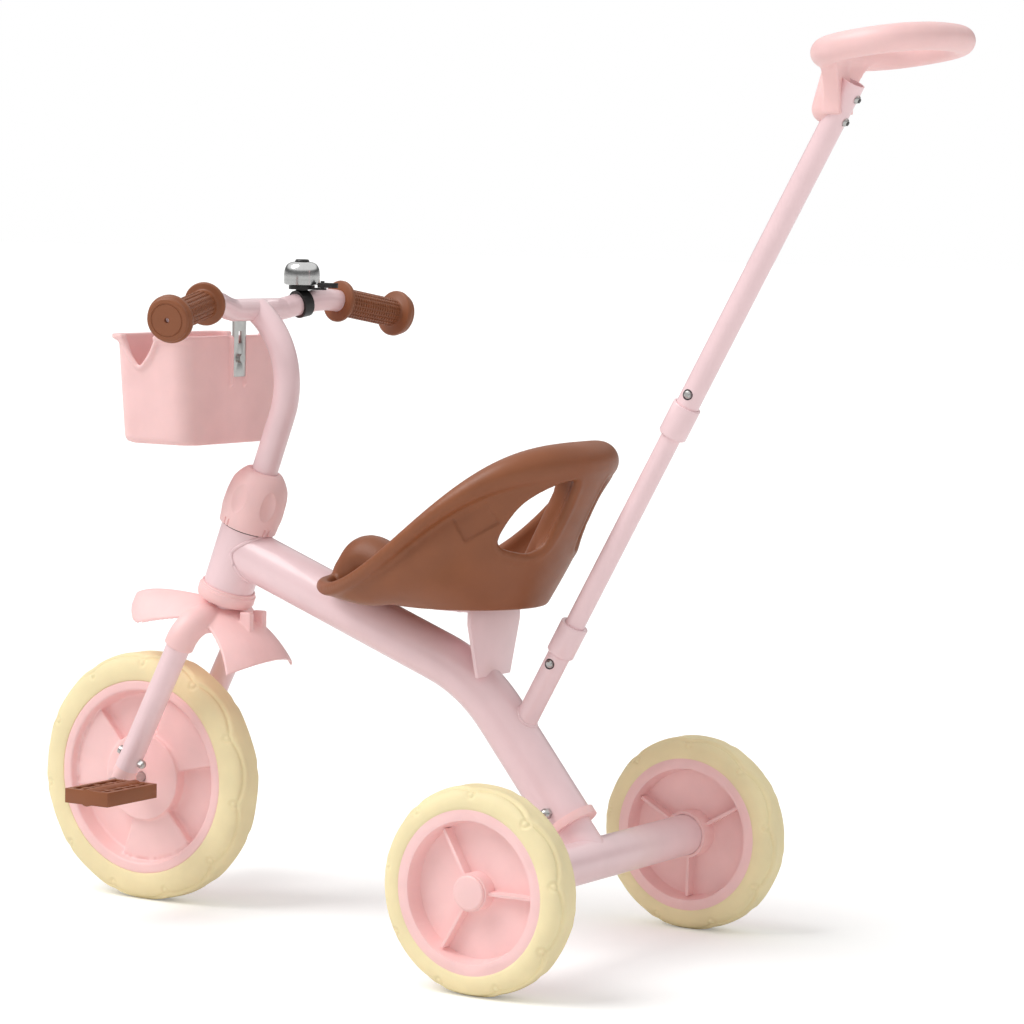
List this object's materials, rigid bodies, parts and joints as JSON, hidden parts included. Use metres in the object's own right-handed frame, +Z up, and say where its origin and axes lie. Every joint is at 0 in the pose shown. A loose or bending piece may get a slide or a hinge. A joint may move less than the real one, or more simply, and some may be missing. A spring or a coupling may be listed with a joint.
{
  "type": "toddler push-along trike",
  "caption": "Three-wheeled ride-on for a toddler with bucket seat, pedals on the steered front wheel, handlebar with bell and basket, and a removable rear push pole with ring handle.",
  "frame": {"origin": "on the floor under the middle of the bounding box, in the middle plane", "axes": "+Y points backward towards the push handle (the trike faces -Y), +X is the child's left, +Z is up"},
  "size_m": [0.44, 1.0036, 0.8777],
  "materials": {
    "painted_steel": "gloss pale pink powder coat",
    "pink_plastic": "smooth moulded plastic",
    "cream_tyre": "satin foamed plastic with a fine moulded tread",
    "brown_plastic": "fine satin moulding",
    "bright_steel": "zinc plated",
    "bell_chrome": "polished chrome",
    "dark_plastic": "black moulding"
  },
  "bodies": {
    "frame": {"main_tube": "painted_steel", "head_tube": "painted_steel", "axle_tube": "painted_steel", "tube_collar": "pink_plastic", "frame_bolt": "bright_steel", "pole_socket": "painted_steel", "seat_bracket": "painted_steel", "axle_rod": "bright_steel", "axle_plugs": "dark_plastic", "axle_washers": "bright_steel", "lower_bearing_cup": "pink_plastic", "upper_bearing": "dark_plastic", "seat": "brown_plastic", "seat_screws": "bright_steel", "lower_pole": "painted_steel", "lower_collar": "painted_steel", "upper_pole": "painted_steel", "upper_collar": "painted_steel", "push_handle": "pink_plastic", "handle_screws": "bright_steel"},
    "lower_button": {"lower_snap_button": "bright_steel"},
    "upper_button": {"upper_snap_button": "bright_steel"},
    "steering": {"fork": "painted_steel", "mudguard": "pink_plastic", "fork_tips": "pink_plastic", "fork_tip_bolts": "bright_steel", "stem": "painted_steel", "handlebar": "painted_steel", "left_grip": "brown_plastic", "right_grip": "brown_plastic", "bell_clamp": "dark_plastic", "bell_base": "dark_plastic", "bell_dome": "bell_chrome", "bell_cap": "dark_plastic", "basket_bracket": "bright_steel", "basket": "pink_plastic", "basket_screw": "bright_steel"},
    "knob": {"lock_knob": "pink_plastic"},
    "striker": {"bell_striker": "dark_plastic"},
    "front_wheel": {"front_tyre": "cream_tyre", "front_rim": "pink_plastic", "crank": "bright_steel"},
    "pedal_left": {"left_pedal": "brown_plastic"},
    "pedal_right": {"right_pedal": "brown_plastic"},
    "wheel_left": {"left_tyre": "cream_tyre", "left_rim": "pink_plastic", "left_hub_cap": "pink_plastic"},
    "wheel_right": {"right_tyre": "cream_tyre", "right_rim": "pink_plastic", "right_hub_cap": "pink_plastic"}
  },
  "joints": [
    {"name": "steer", "type": "hinge", "parent": "frame", "child": "steering", "pos_m": [0, -0.2858, 0.318], "axis": [0, 0.3338, 0.9426], "range_deg": [-45, 45]},
    {"name": "knob_turn", "type": "hinge", "parent": "steering", "child": "knob", "pos_m": [0, -0.2858, 0.318], "axis": [0, 0.3338, 0.9426], "range_deg": [0, 90]},
    {"name": "front_roll", "type": "hinge", "parent": "steering", "child": "front_wheel", "pos_m": [0, -0.3764, 0.1254], "axis": [1, 0, 0], "continuous": true},
    {"name": "left_pedal_spin", "type": "hinge", "parent": "front_wheel", "child": "pedal_left", "pos_m": [0.079, -0.3364, 0.1254], "axis": [1, 0, 0], "continuous": true},
    {"name": "right_pedal_spin", "type": "hinge", "parent": "front_wheel", "child": "pedal_right", "pos_m": [-0.079, -0.4164, 0.1254], "axis": [1, 0, 0], "continuous": true},
    {"name": "left_roll", "type": "hinge", "parent": "frame", "child": "wheel_left", "pos_m": [0.2, 0.1412, 0.095], "axis": [1, 0, 0], "continuous": true},
    {"name": "right_roll", "type": "hinge", "parent": "frame", "child": "wheel_right", "pos_m": [-0.2, 0.1412, 0.095], "axis": [1, 0, 0], "continuous": true},
    {"name": "lower_button_press", "type": "slide", "parent": "frame", "child": "lower_button", "axis": [-1, 0, 0], "range_m": [0, 0.003], "stiffness_N_per_m": 600},
    {"name": "upper_button_press", "type": "slide", "parent": "frame", "child": "upper_button", "axis": [-1, 0, 0], "range_m": [0, 0.003], "stiffness_N_per_m": 600},
    {"name": "bell_strike", "type": "hinge", "parent": "steering", "child": "striker", "pos_m": [-0.06796, -0.22334, 0.60552], "axis": [0, 0, 1], "range_deg": [0, 25], "stiffness_Nm_per_rad": 0.06}
  ]
}
